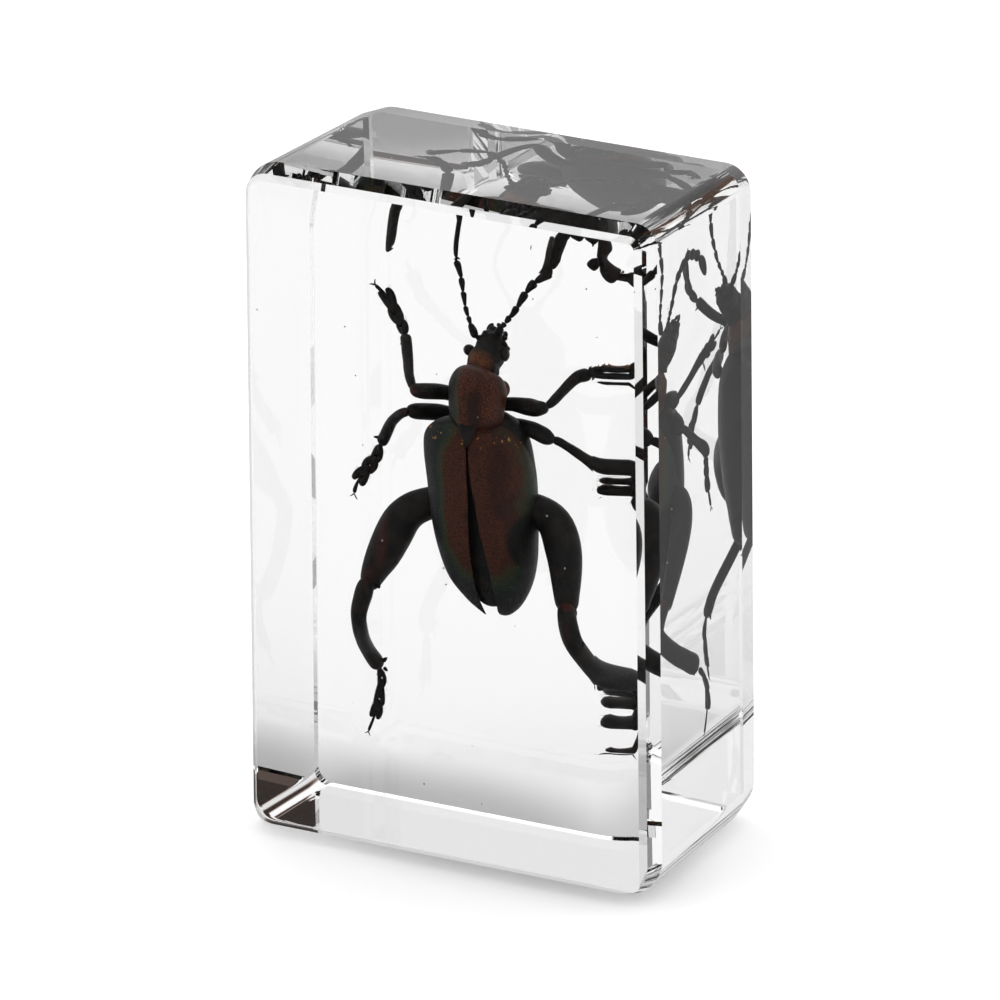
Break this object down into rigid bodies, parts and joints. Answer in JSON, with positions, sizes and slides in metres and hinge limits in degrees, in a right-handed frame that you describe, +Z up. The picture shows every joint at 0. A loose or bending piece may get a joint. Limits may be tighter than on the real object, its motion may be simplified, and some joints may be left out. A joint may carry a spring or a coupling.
{
  "type": "insect in resin block",
  "caption": "Clear cast resin block, upright, with rounded corners and ground rims round its large faces, holding a dry frog-legged beetle.",
  "frame": {"origin": "centre of the narrow end that the block stands on", "axes": "+Z up the block's longest side, -Y out of the large face that the beetle's back looks through, +X across its width"},
  "size_m": [0.0286, 0.0164, 0.044],
  "materials": {
    "clear_resin": "polished",
    "beetle_shell": "satin",
    "beetle_bristle": "matte"
  },
  "bodies": {
    "root": {"resin_block": "clear_resin"}
  },
  "joints": []
}
